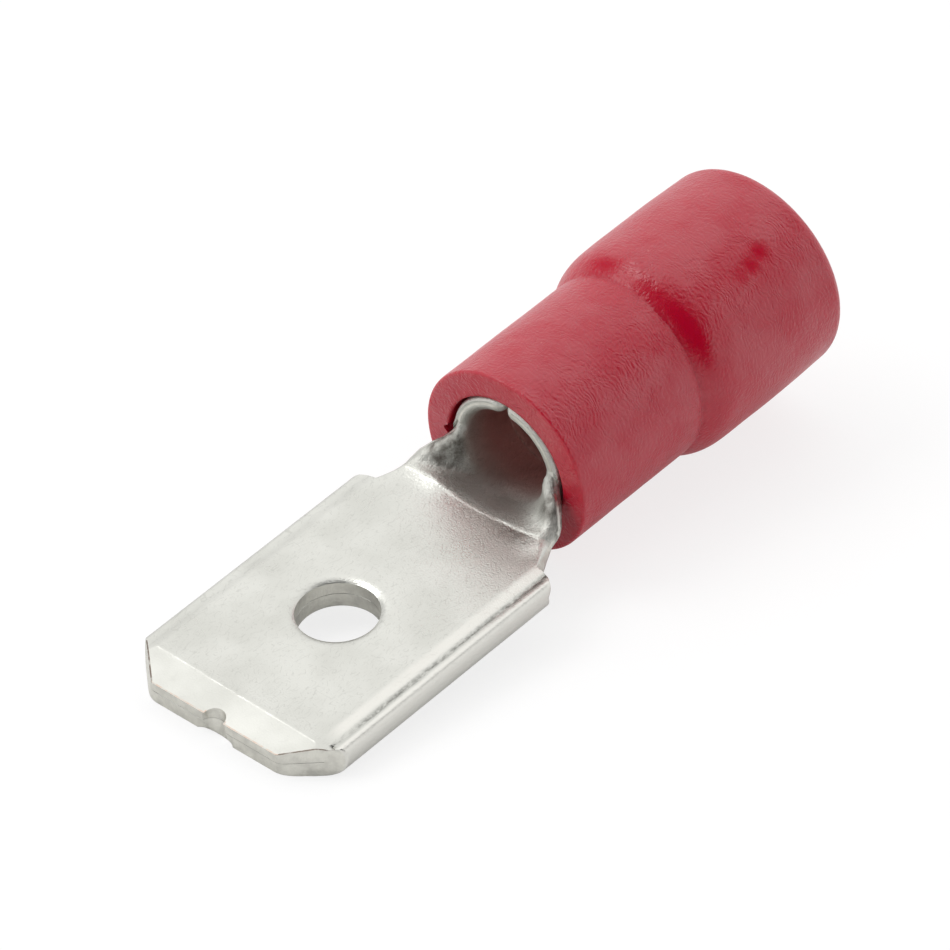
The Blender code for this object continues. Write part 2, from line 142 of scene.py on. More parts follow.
# Swell of the far wing and unevenness of the neck's rims
WING_SWELL = 0.05 * MM
SWELL_MIDDLE = (9.25 * MM, 1.25 * MM)
SWELL_REACH = (0.35 * MM, 0.55 * MM)
RIM_START = 1.6 * MM
RIM_REACH = 0.5 * MM
RIM_BEHIND_SHOULDER = 0.2 * MM
RIM_UNEVEN_UP = 0.022 * MM
RIM_UNEVEN_ACROSS = 0.020 * MM
RIM_UNEVEN_PITCH = 0.30 * MM

# Wire barrel
MOUTH_X = 10.11 * MM
BARREL_RADIUS = 1.63 * MM
BARREL_AXIS_Z = 0.74 * MM
BARREL_END = 15.0 * MM
BARREL_SEAM = 0.08 * MM
BARREL_CORNER = 0.25 * MM
NECK_FILLET = 0.32 * MM
SERRATIONS = 3
FIRST_GROOVE = 1.48 * MM
GROOVE_PITCH = 0.80 * MM
GROOVE_HALF = 0.12 * MM
SERRATION_DEPTH = 0.07 * MM

# Darker patches on the neck, as (middle, reach along each axis, strength)
NECK_PATCHES = (
    ((9.78 * MM, 1.55 * MM, 0.45 * MM), (0.55 * MM, 0.60 * MM, 0.7 * MM), 0.95),
    ((9.75 * MM, -1.85 * MM, 0.25 * MM), (0.40 * MM, 0.50 * MM, 0.7 * MM), 0.85),
)

# Rounding of the sheet's edges
TAB_EDGE = 0.035 * MM
INSIDE_EDGE = 0.005 * MM
BARREL_INNER_EDGE = 0.21 * MM
BARREL_OUTER_EDGE = 0.13 * MM

# How far apart the lines lie that divide the flat sheet, and how far the closer ones reach about an
# edge
FOLD_PITCH = 0.026 * MM
SIDE_PITCH = 0.032 * MM
WING_PITCH = 0.3 * MM
TAB_PITCH = 0.14 * MM
BEVEL_PITCH = 0.02 * MM
BEVEL_ZONE = (-0.12 * MM, 0.14 * MM)
NOTCH_PITCH = 0.05 * MM
NOTCH_ZONE = 0.8 * MM
CREASE_PITCH = 0.02 * MM
CREASE_ZONE = 0.08 * MM
NECK_PITCH = 0.04 * MM
BARREL_PITCH = 0.25 * MM
ROLL_PITCH = 0.09 * MM
CORNER_STEPS = 52

# Which material a face of the metal has
TIN, SHEARED, COPPERED, DARK_EDGED = range(4)

# Insulating sleeve
SLEEVE_START = MOUTH_X + 0.006 * MM
SLEEVE_END = 19.40 * MM
SLEEVE_RADIUS = 2.455 * MM
SLEEVE_CLEARANCE = 0.14 * MM
SEAT_GAP = 0.02 * MM
REAR_RADIUS = 2.770 * MM
REAR_BORE = 2.0 * MM
STEP_START = 14.52 * MM
STEP_REACH = 0.42 * MM
STEP_POWER = 1.5
STEP_LEAN = 0.08 * MM
STEP_LEAN_TURN = math.radians(51.7)
FOOT_GROOVE = 0.030 * MM
FOOT_GROOVE_BEHIND = 0.02 * MM
FOOT_GROOVE_REACH = 0.06 * MM
FOOT_GROOVE_GAP = math.radians(-8)
FOOT_GROOVE_EASE = math.radians(24)
REAR_TAPER_START = 17.4 * MM
REAR_TAPER = 0.055 * MM
REAR_TAPER_POWER = 1.5
FUNNEL_START = 15.25 * MM
FUNNEL_END = 16.0 * MM
FRONT_ROUND = 0.07 * MM
REAR_ROUND = 0.35 * MM
BORE_ROUND = 0.08 * MM
BORE_EDGE = 0.02 * MM

# How far apart the sleeve's rings lie, and how many points are in one
FACE_PITCH = 0.08 * MM
FACE_MARGIN = 0.03 * MM
OUTSIDE_PITCH = 0.09 * MM
STEP_PITCH = 0.035 * MM
STEP_ZONE = (-0.2 * MM, 1.0 * MM)
FUNNEL_PITCH = 0.5 * MM
BORE_PITCH = 0.4 * MM
AROUND = 288

# Soft unevenness of the sleeve's outside, as (size, pitch, seed)
SOFTNESS = ((0.012 * MM, 1.6 * MM, 3), (0.004 * MM, 0.5 * MM, 4))

# Nick in the bore's front edge
NICK_TURN = math.radians(88)
NICK_DEPTH = 0.15 * MM
NICK_HALF = 0.10 * MM
NICK_MARGIN = 0.01 * MM
NICK_LENGTH = 0.4 * MM

# Dents in the wide end, as (distance from the tip, degrees from the top, half length, half width,
# depth)
DENTS = (
    (16.74 * MM, -38.5, 0.20 * MM, 0.15 * MM, 0.050 * MM),
    (17.16 * MM, -37.0, 0.17 * MM, 0.13 * MM, 0.050 * MM),
    (17.66 * MM, -34.5, 0.27 * MM, 0.17 * MM, 0.075 * MM),
)

# Places where the vinyl's skin is smoother and its reflection is mostly taken away, a painted shade
# that shows its full red, as (middle, reach along each axis, strength)
SMOOTHED_AND_SHADED = (
    ((14.77 * MM, -1.81 * MM, 2.43 * MM), (0.31 * MM, 1.45 * MM, 1.45 * MM), 1.0),
    ((14.85 * MM, 0.80 * MM, 3.09 * MM), (0.36 * MM, 1.10 * MM, 1.10 * MM), 0.62),
    ((14.72 * MM, -0.40 * MM, 3.12 * MM), (0.30 * MM, 1.50 * MM, 1.00 * MM), 0.7),
    ((16.76 * MM, -1.69 * MM, 2.75 * MM), (0.42 * MM, 0.40 * MM, 0.44 * MM), 0.6),
    ((17.16 * MM, -1.64 * MM, 2.79 * MM), (0.46 * MM, 0.38 * MM, 0.42 * MM), 0.9),
    ((17.60 * MM, -1.54 * MM, 2.86 * MM), (0.52 * MM, 0.42 * MM, 0.44 * MM), 0.95),
)

# Camera, found by fitting the photograph's edges; angles in the terminal's frame
CAMERA_AIM = Vector((10.0, 0.0, 0.0)) * MM
CAMERA_DISTANCE = 160.01 * MM
CAMERA_AZIMUTH = math.radians(43.754)
CAMERA_ELEVATION = math.radians(41.237)
CAMERA_ROLL = math.radians(-3.651)
CAMERA_RIGHT = -0.658 * MM
CAMERA_UP = 0.211 * MM
SENSOR = 36.0
FOCAL_LENGTH = SENSOR * 6827.612 / 950

# Colours
TIN_LOW = (0.56, 0.56, 0.52, 1)
TIN_HIGH = (0.64, 0.64, 0.60, 1)
TIN_MARK = (0.40, 0.40, 0.37, 1)
SHEARED_LOW = (0.60, 0.59, 0.54, 1)
SHEARED_HIGH = (0.74, 0.73, 0.67, 1)
# Painted reflection: the sleeve's red light in the barrel, as a red-brown tint of the tin inside it
BARREL_INSIDE_RED_REFLECTION = (0.60, 0.36, 0.33, 1)
# Darker colour of the patches on the neck
NECK_PATCH_DARK = (0.12, 0.105, 0.09, 1)
COPPERY = (0.58, 0.45, 0.37, 1)
# Darker colour of a line along the cut corners' top edges
DARK_EDGE_COLOUR = (0.19, 0.155, 0.13, 1)
GROOVE_SHADE = (0.17, 0.17, 0.155, 1)
NEAR_SIDE_SHEEN = (0.71, 0.70, 0.655, 1)
PIT = (0.22, 0.21, 0.19, 1)
VINYL = (0.47, 0.003, 0.024, 1)
# Painted highlight: the colour of small pale spots on the vinyl
GLINT_COLOUR = (0.75, 0.35, 0.33, 1)

# How high the metal's and the vinyl's fine relief stands, and how deep their marks go
GRAIN_HEIGHT = 0.0060 * MM
WRINKLE_HEIGHT = 0.030 * MM
SCRATCH_DEPTH = 0.0016 * MM
PIT_DEPTH = 0.010 * MM
STREAK_HEIGHT = 0.006 * MM
MOTTLE_HEIGHT = 0.02 * MM
VINYL_WAVE_HEIGHT = 0.018 * MM
VINYL_SKIN_HEIGHT = 0.023 * MM

# Painted sheen on strips of the near side, beside its groove and on its outer edge, and painted
# shade in the groove
SHEEN_Y = 2.60 * MM
SHEEN_REACH = (0.04 * MM, 0.20 * MM)
SHEEN_FROM = (0.9 * MM, 1.6 * MM)
OUTER_STRIP = (-2.98 * MM, -2.90 * MM)
GROOVE_SHADE_REACH = 0.11 * MM
GROOVE_SHADE_FROM = (1.1 * MM, 2.2 * MM)
TOP_ONLY = (-0.25 * MM, -0.18 * MM)

# Vinyl's skin
RIDGE_SPACING = 0.115 * MM
WAVES_PER_UNIT = 0.314
RIDGE_SHARE = 0.15
SKIN_DRIFT = 0.5 * MM
SHADED_DRIFT = 0.22 * MM
SHADED_CORE = 0.1
VINYL_IOR = 1.63

# Floor: its grey and its own light, for all rays, and for those that the camera, the metal and the
# vinyl send
FLOOR_GREY = (0.75, 0.75, 0.75, 1)
FLOOR_SEEN_GREY = (0.25, 0.25, 0.25, 1)
FLOOR_LIGHT = 0.16
FLOOR_SEEN_LIGHT = 0.62
FLOOR_MIRRORED_LIGHT = 0.05

# Light: a white tent, dimmer near the horizon. Its dim places are (direction in the terminal's
# frame, how near to it the dimming starts and is whole, as cosines, share of light left there); the
# first is on the photographer's side.
TENT = 1.28
HORIZON_LIGHT = 0.80
HORIZON_REACH = (0.05, 0.75)
DIM_PLACES = (
    ((-0.30, -0.60, 0.74), 0.68, 0.86, 0.04),
    ((-0.10, 0.90, 0.42), 0.93, 0.98, 0.4),
    ((0.54, -0.52, 0.66), 0.95, 0.99, 0.65),
    ((-0.45, 0.10, 0.89), 0.92, 0.98, 0.3),
)
KEY_PLACE = Vector((-0.15, 0.25, 0.35))
KEY_AIM = Vector((0, 0, 0.002))
KEY_SIZE = 0.25
KEY_POWER = 0.5

# Worked out from the sizes above
FOLD_Y = TAB_HALF - TAB_THICKNESS / 2
FOLD_RADIUS = (SHEET + LAYER_GAP) / 2
FOLD_RUN = math.pi * FOLD_RADIUS
ACROSS_AND_BACK = 2 * FOLD_Y + FOLD_RUN
WING_RUN = ACROSS_AND_BACK - WING_SEAM / 2
BARREL_MIDDLE = BARREL_RADIUS - SHEET / 2
BARREL_RUN = math.pi * BARREL_MIDDLE - BARREL_SEAM / 2
NECK_DROP = BARREL_MIDDLE - BARREL_AXIS_Z - SHEET / 2
SLEEVE_BORE = BARREL_RADIUS + SLEEVE_CLEARANCE
SLEEVE_AXIS_Z = BARREL_AXIS_Z - SLEEVE_CLEARANCE + SEAT_GAP
TINY = 1e-7


def rest_matrix():
    """Where the terminal's own frame lies as it rests: on the lower edge of its tip and the
    sleeve's front rim."""
    along = SLEEVE_START + FRONT_ROUND - LOWER_BEVEL_LENGTH
    down = SLEEVE_AXIS_Z - SLEEVE_RADIUS + FRONT_ROUND + TAB_THICKNESS
    lean = math.asin(FRONT_ROUND / math.hypot(along, down)) - math.atan2(down, along)
    turn = Matrix.Rotation(-lean, 4, "Y")
    tip = turn @ Vector((0, 0, -BEVEL_DROP))
    foot = turn @ Vector((LOWER_BEVEL_LENGTH, 0, -TAB_THICKNESS))
    low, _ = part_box("folded_terminal")
    return Matrix.Translation((low.x - tip.x, 0, -foot.z)) @ turn


REST = rest_matrix()


def clamp(value):
    return max(0.0, min(1.0, value))


def arc(x, y, radius, start, end, steps):
    """Points of an arc about (x, y), with its angles in degrees."""
    points = []
    for step in range(steps + 1):
        angle = math.radians(start + (end - start) * step / steps)
        points.append((x + radius * math.cos(angle), y + radius * math.sin(angle)))
    return points


def folded_middle(x, run):
    """Where the middle of the sheet goes in the tab: flat, round the fold, and back under it."""
    side = math.copysign(1, run)
    beyond = abs(run) - FOLD_Y
    if beyond <= 0:
        return Vector((x, run, -SHEET / 2))
    if beyond >= FOLD_RUN:
        return Vector((x, side * (FOLD_Y + FOLD_RUN - beyond), SHEET / 2 - TAB_THICKNESS))
    turn = beyond / FOLD_RADIUS
    y = FOLD_Y + FOLD_RADIUS * math.sin(turn)
    return Vector((x, side * y, FOLD_RADIUS * math.cos(turn) - TAB_THICKNESS / 2))


def rolled_middle(x, run):
    """Where the middle of the sheet goes in the neck and barrel: the sides curl up while the bottom
    drops."""
    along = clamp((x - CREASE_X) / (MOUTH_X - CREASE_X))
    curve = (1 - (1 - along) ** CURL_POWER) / BARREL_MIDDLE
    soft = math.hypot(along, CREASE_SOFTNESS) - CREASE_SOFTNESS
    soft /= math.hypot(1, CREASE_SOFTNESS) - CREASE_SOFTNESS
    bottom = -SHEET / 2 - NECK_DROP * (1 - (1 - soft) ** DROP_POWER)
    middle = (1 - clamp(abs(run) / CREASE_Y) ** 2) ** 2
    late = FIRST_SLOPE * soft + (1 - FIRST_SLOPE) * soft**2 * (3 - 2 * soft)
    bottom += middle * NECK_DROP * (1 - late - (1 - soft) ** DROP_POWER)
    before = clamp((x - SHOULDER_X) / (CREASE_X - SHOULDER_X))
    x += CREASE_BOW * min(before, 1 - along) * clamp(abs(run) / CREASE_Y) ** 2
    if curve < 1:
        return Vector((x, run, bottom))
    return Vector((x, math.sin(run * curve) / curve, bottom + (1 - math.cos(run * curve)) / curve))


def cut_line(y, z):
    """Distance from the tip at which the corner's cut wall lies, at this place across and down the
    tab."""
    inner = TAB_HALF - CORNER_WIDTH - CORNER_DRAFT * z / TAB_THICKNESS
    return (abs(y) - inner) * CORNER_LENGTH / CORNER_WIDTH


def corner_depth(y, z):
    """How far back from the tip the cut corner reaches, with its front corner blunt, more so on the
    lower layer."""
    lower = clamp((-z / TAB_THICKNESS - 0.5) / BLUNTING_CHANGE + 0.5)
    blunt = UPPER_BLUNTING + (LOWER_BLUNTING - UPPER_BLUNTING) * lower
    line = cut_line(y, z)
    if abs(line) < blunt:
        return (line + blunt) ** 2 / (4 * blunt)
    return max(0, line)


def notch_depth(y, z):
    """How far back from the tip the notch reaches, at this place across and down the tab."""
    down = clamp((-z - BEVEL_DROP) / (TAB_THICKNESS - BEVEL_DROP))
    deep = NOTCH_RADIUS + (NOTCH_FOOT_DEPTH - NOTCH_RADIUS) * down**NOTCH_DEPTH_POWER
    half = NOTCH_RADIUS + (NOTCH_FOOT_HALF - NOTCH_RADIUS) * down**NOTCH_WIDTH_POWER
    return deep * math.sqrt(1 - (y / half) ** 2) if abs(y) < half else 0


def flat_notch(run):
    """How far back the notch reaches in the flat sheet."""
    return math.sqrt(NOTCH_RADIUS**2 - run**2) if abs(run) < NOTCH_RADIUS else 0


def corner_edge(run):
    """Where the cut corner's edge crosses this distance from the centre line of the flat sheet."""
    middle = folded_middle(0, run)
    return corner_depth(middle.y, middle.z)


def run_at(y):
    """How far from the centre line of the flat sheet the point lies that the fold brings to this
    y."""
    if y <= FOLD_Y:
        return y
    return FOLD_Y + FOLD_RADIUS * math.asin(min(1, (y - FOLD_Y) / (TAB_THICKNESS / 2)))


def half_outline(side):
    """One half of the flat sheet's outline, out from the centre line at the notch and back to it
    behind the barrel, then round the half of the hole that lies on this side."""
    points = arc(0, 0, NOTCH_RADIUS, 0, 90, 10)
    first = TAB_HALF - CORNER_WIDTH - CORNER_MARGIN
    last = ACROSS_AND_BACK - first
    for step in range(CORNER_STEPS + 1):
        run = first + (last - first) * step / CORNER_STEPS
        points.append((corner_edge(run), run))
    tip, rear = WING_TIP_CORNER, WING_REAR_CORNER
    points += arc(tip, WING_RUN - tip, tip, 180, 90, 8)
    centre = ACROSS_AND_BACK - side * HOLE_Y
    lift = math.degrees(math.asin((WING_RUN - centre) / HOLE_RADIUS))
    points += arc(HOLE_X, centre, HOLE_RADIUS, -180 - lift, lift, 36)
    points += arc(TAB_END - rear, WING_RUN - rear, rear, 90, 0, 5)
    for along, inward in arc(0, 0, 1, 0, 90, 8):
        x = TAB_END + (SHOULDER_X - TAB_END) * inward
        points.append((x, run_at(SHOULDER_Y + (TAB_HALF - SHOULDER_Y) * along)))
    points.append((CREASE_X, CREASE_Y + side * NECK_SHIFT))
    points += arc(MOUTH_X - NECK_FILLET, NECK_HALF + NECK_FILLET, NECK_FILLET, -90, 0, 8)
    points += arc(MOUTH_X + BARREL_CORNER, BARREL_RUN - BARREL_CORNER, BARREL_CORNER, 180, 90, 6)
    points += arc(BARREL_END - BARREL_CORNER, BARREL_RUN - BARREL_CORNER, BARREL_CORNER, 90, 0, 6)
    points.append((BARREL_END, 0))
    dip = math.degrees(math.asin(HOLE_Y / HOLE_RADIUS))
    points += arc(HOLE_X, side * HOLE_Y, HOLE_RADIUS, -side * dip, 180 + side * dip, 40)
    cleaned = []
    for x, run in points:
        near = cleaned and math.dist(cleaned[-1], (x, side * run)) < TINY
        if not near:
            cleaned.append((x, side * run))
    return cleaned


def score(bm, axis, position, start, end):
    """Cut an edge line across the flat sheet, in the faces that lie between these two distances
    from the tip."""
    faces = [f for f in bm.faces if start - TINY < f.calc_center_median().x < end + TINY]
    edges = {edge for face in faces for edge in face.edges}
    points = {vert for face in faces for vert in face.verts}
    place = Vector((position, 0, 0)) if axis == 0 else Vector((0, position, 0))
    normal = Vector((1, 0, 0)) if axis == 0 else Vector((0, 1, 0))
    bmesh.ops.bisect_plane(
        bm, geom=[*faces, *edges, *points], dist=TINY, plane_co=place, plane_no=normal
    )


def spread(first, last, pitch):
    """Evenly spaced places from first to last, about this far apart."""
    count = max(1, round((last - first) / pitch))
    return [first + (last - first) * step / count for step in range(count + 1)]


def from_hole(point):
    return math.hypot(point.x - HOLE_X, point.y - HOLE_Y)


def rim_edges(bm, height, chosen):
    """Edges of the flat sheet's outline on one of its faces, where both ends are among the chosen
    points."""
    found = []
    for edge in bm.edges:
        level = all(abs(vert.co.z - height) < TINY for vert in edge.verts)
        if level and len(edge.link_faces) == 2 and all(chosen(vert.co) for vert in edge.verts):
            if abs(edge.link_faces[0].normal.dot(edge.link_faces[1].normal)) < 0.5:
                found.append(edge)
    return found


def round_edges(bm, height, radius, segments, chosen):
    """Round these edges of the flat sheet, and give back the faces that this makes."""
    made = bmesh.ops.bevel(
        bm,
        geom=rim_edges(bm, height, chosen),
        offset=radius,
        segments=segments,
        profile=0.5,
        affect="EDGES",
    )
    bm.normal_update()
    return made["faces"]


def flat_blank():
    """The cut sheet before it is folded, with its upper face on z = 0 and its walls marked as
    sheared."""
    bm = bmesh.new()
    made = {}

    def vert(point):
        key = (round(point[0] / TINY), round(point[1] / TINY))
        if key not in made:
            made[key] = bm.verts.new((point[0], point[1], 0))
        return made[key]

    halves = []
    for side in (1, -1):
        corners = [vert(point) for point in half_outline(side)]
        halves.append(bm.faces.new(corners if side > 0 else corners[::-1]))
    grown = bmesh.ops.extrude_face_region(bm, geom=halves)["geom"]
    lower = [item for item in grown if isinstance(item, bmesh.types.BMVert)]
    bmesh.ops.translate(bm, verts=lower, vec=(0, 0, -SHEET))
    bmesh.ops.recalc_face_normals(bm, faces=bm.faces)
    bm.normal_update()
    for face in bm.faces:
        face.material_index = SHEARED if abs(face.normal.z) < 0.5 else TIN
    for point in lower:
        if SHOULDER_X - TINY < point.co.x < CREASE_X + TINY:
            point.co.y += math.copysign(NECK_SHEAR, point.co.y)
    bm.normal_update()

    def at_hole(place):
        return abs(from_hole(place) - HOLE_RADIUS) < 10 * TINY

    def on_tab(place):
        return place.x < SHOULDER_X + TINY and not at_hole(place)

    def on_front(place):
        return on_tab(place) and corner_edge(place.y) <= 0 and place.y > NOTCH_RADIUS

    def on_barrel(place):
        return place.x > SHOULDER_X - TINY

    for face in round_edges(bm, 0, ROLL_OVER, 7, at_hole):
        face.material_index = TIN
    for face in round_edges(bm, 0, TAB_EDGE, 2, on_tab):
        place = face.calc_center_median()
        corner = corner_edge(place.y)
        if place.x < FRONT_EDGE and abs(place.y) < TAB_HALF - CORNER_WIDTH:
            face.material_index = COPPERED
        # A darker line along each cut corner's top edge
        elif place.x < corner + FRONT_EDGE and abs(place.y) < FOLD_Y + FRONT_EDGE:
            face.material_index = DARK_EDGED
    round_edges(bm, 0, BARREL_INNER_EDGE, 6, on_barrel)
    round_edges(bm, -SHEET, INSIDE_EDGE, 1, on_front)
    round_edges(bm, -SHEET, BARREL_OUTER_EDGE, 4, on_barrel)
    return bm


def score_bends(bm):
    """Lines along which the sheet bends, and a grid over the tab fine enough to carry its small
    unevenness."""
    grooves = [MOUTH_X + FIRST_GROOVE + GROOVE_PITCH * number for number in range(SERRATIONS)]
    for x in spread(CREASE_X, MOUTH_X, NECK_PITCH) + spread(MOUTH_X, BARREL_END, BARREL_PITCH):
        score(bm, 0, x, 0, BARREL_END)
    for middle in grooves:
        for offset in (-GROOVE_HALF, 0, GROOVE_HALF):
            score(bm, 0, middle + offset, 0, BARREL_END)
    for x in spread(0, CREASE_X, TAB_PITCH)[1:-1]:
        score(bm, 0, x, 0, CREASE_X)
    for x in spread(BEVEL_LENGTH + BEVEL_ZONE[0], BEVEL_LENGTH + BEVEL_ZONE[1], BEVEL_PITCH):
        score(bm, 0, x, 0, CREASE_X)
    for x in spread(CREASE_X - CREASE_ZONE, CREASE_X + CREASE_ZONE, CREASE_PITCH):
        score(bm, 0, x, 0, BARREL_END)
    for side in (-1, 1):
        for run in spread(FOLD_Y, FOLD_Y + FOLD_RUN, FOLD_PITCH):
            score(bm, 1, side * run, 0, CREASE_X)
        for y in spread(SIDE_START, FOLD_Y, SIDE_PITCH)[:-1]:
            score(bm, 1, side * y, 0, CREASE_X)
        for run in spread(FOLD_Y + FOLD_RUN, WING_RUN, WING_PITCH):
            score(bm, 1, side * run, 0, CREASE_X)
    for y in spread(-SIDE_START, SIDE_START, TAB_PITCH):
        score(bm, 1, y, 0, CREASE_X)
    for y in spread(-NOTCH_FOOT_HALF, NOTCH_FOOT_HALF, NOTCH_PITCH):
        score(bm, 1, y, 0, NOTCH_ZONE)
        score(bm, 1, math.copysign(ACROSS_AND_BACK, y) - y, 0, NOTCH_ZONE)
    for run in spread(-math.pi * BARREL_MIDDLE, math.pi * BARREL_MIDDLE, ROLL_PITCH):
        score(bm, 1, run, CREASE_X, BARREL_END)
    for vert in bm.verts:
        if abs(vert.co.z) < TINY and any(abs(vert.co.x - groove) < TINY for groove in grooves):
            vert.co.z -= SERRATION_DEPTH


def formed_point(flat):
    """Carry a point of the flat sheet to its place on the formed one, square to the middle of the
    sheet."""
    middle = folded_middle if flat.x < SHOULDER_X else rolled_middle
    near = 1e-6
    along = middle(flat.x + near, flat.y) - middle(flat.x - near, flat.y)
    across = middle(flat.x, flat.y + near) - middle(flat.x, flat.y - near)
    upward = along.cross(across).normalized()
    return middle(flat.x, flat.y) + upward * (flat.z + SHEET / 2)


def coined_height(point):
    """Top of the tab beside the fold, as the coining leaves it."""
    start, drop = (FAR_START, FAR_DROP) if point.y > 0 else (SIDE_START, NEAR_DROP)
    start += uneven(point, SIDE_WANDER, WANDER_PITCH, 12)
    share = clamp((abs(point.y) - start) / SIDE_LENGTH)
    height = -drop * share**2 * (3 - 2 * share)
    if point.y < 0:
        off = point.y + SIDE_GROOVE_Y + uneven(point, GROOVE_WANDER, WANDER_PITCH, 13)
        off /= SIDE_GROOVE_HALF
        worn = 1 + uneven(point, GROOVE_WEAR, GROOVE_WEAR_PITCH, 11)
        height -= SIDE_GROOVE_DEPTH * worn * math.exp(-(off**2))
    return height


def squared_fold(point, power):
    """Press the fold's round outside toward a square corner."""
    middle = Vector((point.x, math.copysign(FOLD_Y, point.y), -TAB_THICKNESS / 2))
    out = point - middle
    radius = out.length
    total = (abs(out.y / radius) ** power + abs(out.z / radius) ** power) ** (1 / power)
    return middle + out / total


def uneven(point, size, pitch, seed):
    """Smooth unevenness of about this height, over this distance."""
    return size * noise.noise(point / pitch + Vector((seed, 2 * seed, 3 * seed)))


def coin_tip(point):
    """Press the bevels of the tip, above and below the tab."""
    length = BEVEL_LENGTH + BEVEL_SKEW * point.y / TAB_HALF
    top = -BEVEL_DROP * (1 - point.x / length)
    if point.z > -TAB_THICKNESS / 8 and point.x > length - LIP_START:
        point.z += LIP * math.exp(-(((point.x - length - LIP_BEHIND) / LIP_REACH) ** 2))
    if point.x < length and point.z > top:
        point.z = top
    bottom = LOWER_BEVEL_DROP * (1 - point.x / LOWER_BEVEL_LENGTH) - TAB_THICKNESS
    if point.x < LOWER_BEVEL_LENGTH and point.z < bottom:
        point.z = bottom


def press_tab(point, flat):
    """Square the tab's folds, coin its sides and lean its rear shoulders; flat is the point before
    the folding."""
    outside = clamp((flat.z + SHEET / 2) / (SHEET / 2))
    pressed = point.copy()
    if abs(point.y) > FOLD_Y and point.z < -TAB_THICKNESS / 2:
        pressed = squared_fold(point, LOWER_SQUARENESS)
    elif point.y < -FOLD_Y:
        pressed = squared_fold(point, NEAR_SQUARENESS)
    if point.z > -TAB_THICKNESS / 4 and abs(point.y) > SIDE_START - SIDE_MARGIN:
        pressed.z = min(pressed.z, coined_height(pressed))
    point += (pressed - point) * outside
    rearward = clamp((flat.x - TAB_END + REAR_LEAN_LENGTH) / REAR_LEAN_LENGTH) ** 2
    outward = clamp((abs(flat.y) - SHOULDER_Y) / (FOLD_Y - SHOULDER_Y))
    point.x += REAR_LEAN * rearward * outward * clamp(-point.z / TAB_THICKNESS)


def cut_tip(point, flat):
    """Bring the notch and the cut corners, which the flat sheet has in part, to their shape through
    both layers."""
    if abs(point.y) < NOTCH_FOOT_HALF:
        cut = flat_notch(flat.y)
        fade = clamp(1 - (flat.x - cut) / NOTCH_FADE)
        point.x += (notch_depth(point.y, point.z) - cut) * fade
    else:
        cut = corner_edge(flat.y)
        fade = clamp(1 - (flat.x - cut) / CORNER_FADE)
        point.x += (corner_depth(point.y, point.z) - cut) * fade


def raise_neck(point, flat):
    """Raise the neck at the crease's two ends, and swell its far wing."""
    start, out = FAR_RAISE_START if flat.y > 0 else NEAR_RAISE_START
    before = clamp((flat.x - start) / (CREASE_X - start))
    after = clamp(1 - (flat.x - CREASE_X) / RAISE_BEHIND)
    sideways = clamp((abs(flat.y) - out) / RAISE_SIDEWAYS)
    point.z += CREASE_RAISE * before**RAISE_POWER * after**2 * sideways
    beyond = (flat.x - SWELL_MIDDLE[0]) / SWELL_REACH[0]
    inward = (flat.y - SWELL_MIDDLE[1]) / SWELL_REACH[1]
    point.z += WING_SWELL * math.exp(-(beyond**2) - inward**2)


def form_sheet(bm):
    """Fold the tab, crease the neck and roll the barrel, then coin the sides and the tip."""
    for vert in bm.verts:
        flat = vert.co.copy()
        hole = from_hole(flat)
        if hole < HOLE_RADIUS + ROLL_OVER - TINY and flat.z > -ROLL_OVER - TINY:
            share = clamp((hole - HOLE_RADIUS) / ROLL_OVER)
            flat.z = -ROLL_OVER_DEPTH * (1 - share) ** 2
        point = formed_point(flat)
        if flat.x < CREASE_X - TINY:
            press_tab(point, flat)
            cut_tip(point, flat)
            coin_tip(point)
        if SHOULDER_X < flat.x < MOUTH_X:
            raise_neck(point, flat)
        if SHOULDER_X < flat.x < BARREL_END and flat.z > -TINY:
            off = (flat.x - CREASE_X) / CREASE_RIDGE_REACH
            point.z += CREASE_RIDGE * math.exp(-(off**2))
        if SHOULDER_X + RIM_BEHIND_SHOULDER < flat.x < MOUTH_X:
            rim = clamp((abs(flat.y) - RIM_START) / RIM_REACH)
            point.z += rim * uneven(point, RIM_UNEVEN_UP, RIM_UNEVEN_PITCH, 7)
            point.y += rim * uneven(point, RIM_UNEVEN_ACROSS, RIM_UNEVEN_PITCH, 8)
        vert.co = point


def add_piece(name, mesh, node, materials):
    """Put a finished mesh in the scene in place of a CAD node."""
    mesh.transform(REST)
    mesh.update()
    piece = bpy.data.objects.new(name, mesh)
    bpy.context.scene.collection.objects.link(piece)
    for material in materials:
        mesh.materials.append(material)
    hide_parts(node)
    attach(piece, "root")
    return piece


def build_terminal(materials):
    bm = flat_blank()
    score_bends(bm)
    form_sheet(bm)
    for face in bm.faces:
        face.smooth = True
    mesh = bpy.data.meshes.new("terminal")
    bm.to_mesh(mesh)
    bm.free()
    mesh.set_sharp_from_angle(angle=math.radians(38))
    piece = add_piece("terminal", mesh, "folded_terminal", materials)
    weighted = piece.modifiers.new("even_shading", "WEIGHTED_NORMAL")
    weighted.keep_sharp = True


# Sleeve


def outside_radius(x):
    """Radius of the sleeve's outside: a step that rises fast and then slowly, and a late taper."""
    past = max(0, x - STEP_START) / STEP_REACH
    radius = REAR_RADIUS - (REAR_RADIUS - SLEEVE_RADIUS) * math.exp(-(past**STEP_POWER))
    late = clamp((x - REAR_TAPER_START) / (SLEEVE_END - REAR_TAPER_START))
    return radius - REAR_TAPER * late**REAR_TAPER_POWER


def stepped(start, end, first, last, steps):
    """(radius, x) points of a smooth step from one radius to another."""
    points = []
    for step in range(steps + 1):
        share = step / steps
        blend = (1 - math.cos(math.pi * share)) / 2
        points.append((first + (last - first) * blend, start + (end - start) * share))
    return points


def rounded(radius, x, size, start, end, steps):
    """(radius, x) points of an edge's rounding about a centre, with its angles in degrees."""
    return [(r, along) for along, r in arc(x, radius, size, start, end, steps)]


